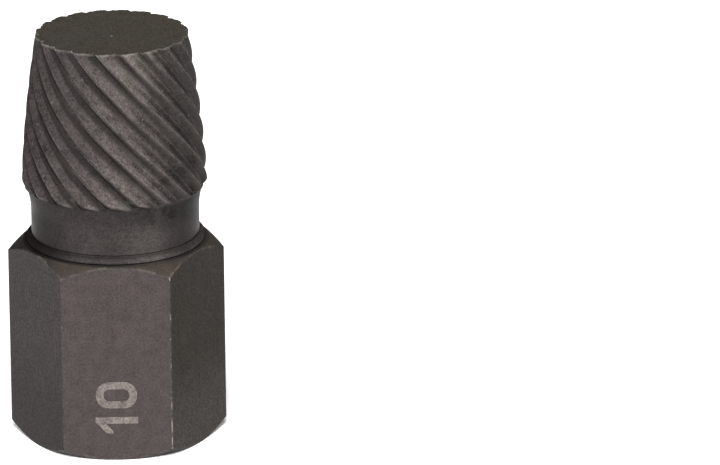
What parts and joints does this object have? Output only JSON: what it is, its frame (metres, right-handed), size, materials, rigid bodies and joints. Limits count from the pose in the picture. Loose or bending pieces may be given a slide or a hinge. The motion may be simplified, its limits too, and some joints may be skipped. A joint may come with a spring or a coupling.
{
  "type": "screw extractor",
  "caption": "Hex-bodied screw extractor with a tapered head of left-hand helical teeth, driven by a spanner or a square drive.",
  "frame": {"origin": "middle of the hexagon's end face, on the tool's axis, where it stands", "axes": "+Z along the tool's axis from the hexagon to the toothed tip, +X through a corner of the hexagon, -Y out of the flat that carries the size mark"},
  "size_m": [0.0138, 0.012, 0.0268],
  "materials": {
    "blackened_steel": "matte phosphated steel, worn lighter along the edges and tooth tops"
  },
  "bodies": {
    "root": {"extractor_body": "blackened_steel"}
  },
  "joints": []
}
